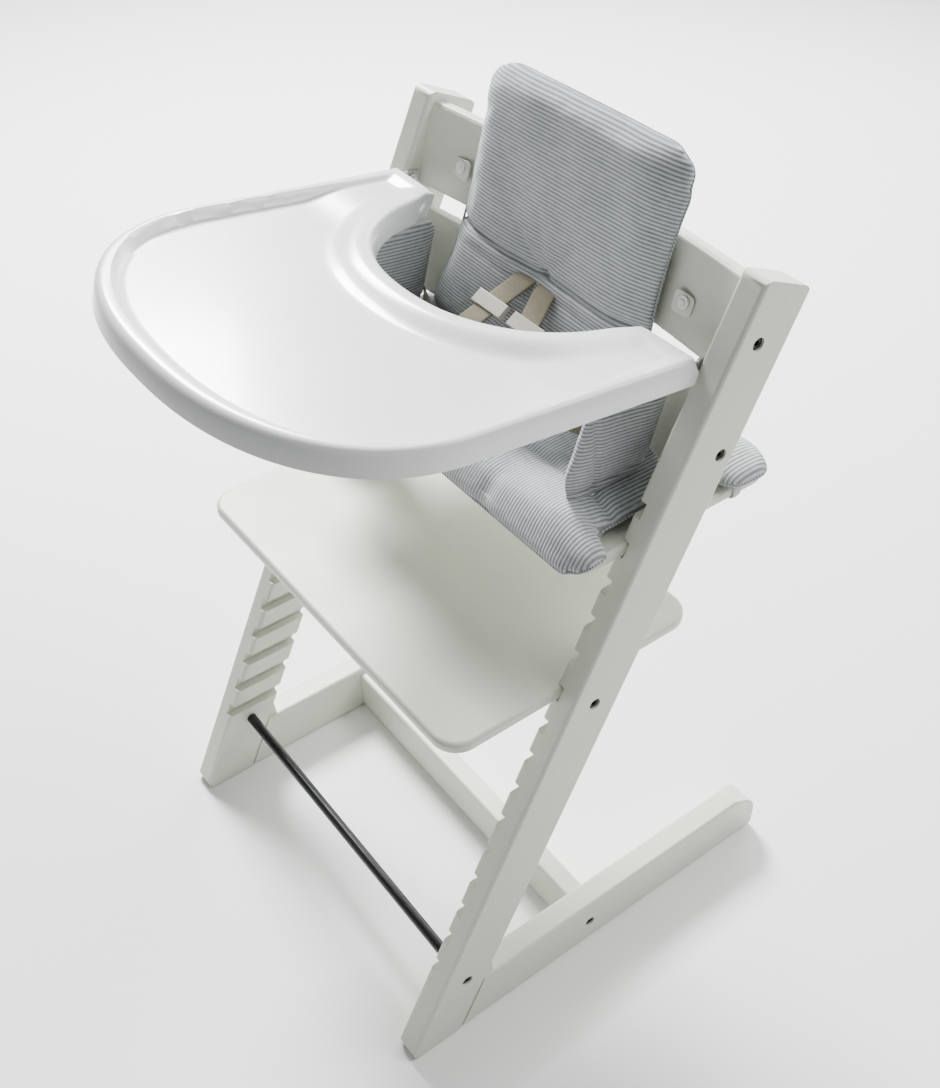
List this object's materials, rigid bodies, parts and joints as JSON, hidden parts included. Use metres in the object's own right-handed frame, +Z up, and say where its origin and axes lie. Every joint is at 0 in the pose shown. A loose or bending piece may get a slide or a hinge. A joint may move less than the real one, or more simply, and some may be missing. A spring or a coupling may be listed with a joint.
{
  "type": "baby high chair",
  "caption": "Wooden baby high chair with leaning slotted side frames, seat plate, footplate, curved backrests, sliding plastic tray, padded cushion and harness.",
  "frame": {"origin": "centre of the overall box on the floor, under the chair", "axes": "+Z up, the child faces -Y, +X is the child's left side (right when seen from the front)"},
  "size_m": [0.46, 0.5484, 0.8474],
  "materials": {
    "painted_wood": "satin off-white paint over beech",
    "dowel_wood": "plain beech",
    "glide_plastic": "matte",
    "black_rod": "black finish",
    "black_screw": "black oxide",
    "steel": "zinc plated",
    "tray_plastic": "glossy moulded",
    "runner_plastic": "moulded",
    "catch_plastic": "moulded",
    "striped_fabric": "fine ribbed stripes",
    "clear_tab": "soft and milky",
    "stud_plastic": "glossy",
    "elastic": "knitted elastic",
    "anchor_steel": "grey powder coat",
    "webbing": "woven polyester",
    "slider_plastic": "moulded",
    "buckle_plastic": "moulded",
    "button_plastic": "moulded"
  },
  "bodies": {
    "frame": {"upright_left": "painted_wood", "upright_right": "painted_wood", "foot_left": "painted_wood", "foot_right": "painted_wood", "foot_dowels": "dowel_wood", "foot_glides": "glide_plastic", "cross_brace": "painted_wood", "lower_rod": "black_rod", "upper_rod": "black_rod", "upper_backrest": "painted_wood", "lower_backrest": "painted_wood", "frame_screws": "black_screw", "threaded_inserts": "steel", "tray_bar_left": "steel", "tray_bar_right": "steel", "tray_bar_screws": "steel", "back_cushion": "striped_fabric", "side_wing_left": "striped_fabric", "side_wing_right": "striped_fabric", "cushion_tab_left": "clear_tab", "cushion_tab_right": "clear_tab", "press_studs": "stud_plastic", "harness_anchor": "anchor_steel", "shoulder_strap_left": "webbing", "shoulder_strap_right": "webbing", "waist_strap_left": "webbing", "waist_strap_right": "webbing", "crotch_strap": "webbing", "crotch_strap_stop": "slider_plastic", "buckle_body": "buckle_plastic", "buckle_spring": "steel"},
    "seat": {"seat_plate": "painted_wood", "seat_cushion": "striped_fabric", "cushion_loop_left": "elastic", "cushion_loop_right": "elastic"},
    "footrest": {"footplate": "painted_wood"},
    "tray": {"tray_shell": "tray_plastic", "tray_runner_left": "runner_plastic", "tray_runner_right": "runner_plastic", "tray_runner_screws": "steel", "tray_catch_springs": "steel"},
    "catch_left": {"tray_catch_left": "catch_plastic"},
    "catch_right": {"tray_catch_right": "catch_plastic"},
    "button": {"buckle_button": "button_plastic"},
    "tongue_left": {"buckle_tongue_left": "steel"},
    "tongue_right": {"buckle_tongue_right": "steel"},
    "slider_left": {"strap_slider_left": "slider_plastic"},
    "slider_right": {"strap_slider_right": "slider_plastic"}
  },
  "joints": [
    {"name": "seat_slide", "type": "slide", "parent": "frame", "child": "seat", "axis": [0, 1, 0], "range_m": [-0.02, 0.02]},
    {"name": "footplate_slide", "type": "slide", "parent": "frame", "child": "footrest", "axis": [0, 1, 0], "range_m": [-0.03, 0.03]},
    {"name": "tray_slide", "type": "slide", "parent": "frame", "child": "tray", "axis": [0, -0.993, 0.1184], "range_m": [0, 0.06]},
    {"name": "tray_catch_left_pull", "type": "slide", "parent": "tray", "child": "catch_left", "axis": [1, 0, 0], "range_m": [0, 0.005], "stiffness_N_per_m": 600, "springref_m": -0.006},
    {"name": "tray_catch_right_pull", "type": "slide", "parent": "tray", "child": "catch_right", "axis": [-1, 0, 0], "range_m": [0, 0.005], "stiffness_N_per_m": 600, "springref_m": -0.006},
    {"name": "buckle_press", "type": "slide", "parent": "frame", "child": "button", "axis": [0, 1, 0], "range_m": [0, 0.0025], "stiffness_N_per_m": 900, "springref_m": -0.003},
    {"name": "tongue_left_release", "type": "slide", "parent": "frame", "child": "tongue_left", "axis": [-1, 0, 0], "range_m": [0, 0.012]},
    {"name": "tongue_right_release", "type": "slide", "parent": "frame", "child": "tongue_right", "axis": [1, 0, 0], "range_m": [0, 0.012]},
    {"name": "slider_left_adjust", "type": "slide", "parent": "frame", "child": "slider_left", "axis": [-0.2867, -0.7918, -0.5393], "range_m": [-0.015, 0.012]},
    {"name": "slider_right_adjust", "type": "slide", "parent": "frame", "child": "slider_right", "axis": [0.2867, -0.7918, -0.5393], "range_m": [-0.015, 0.012]}
  ]
}
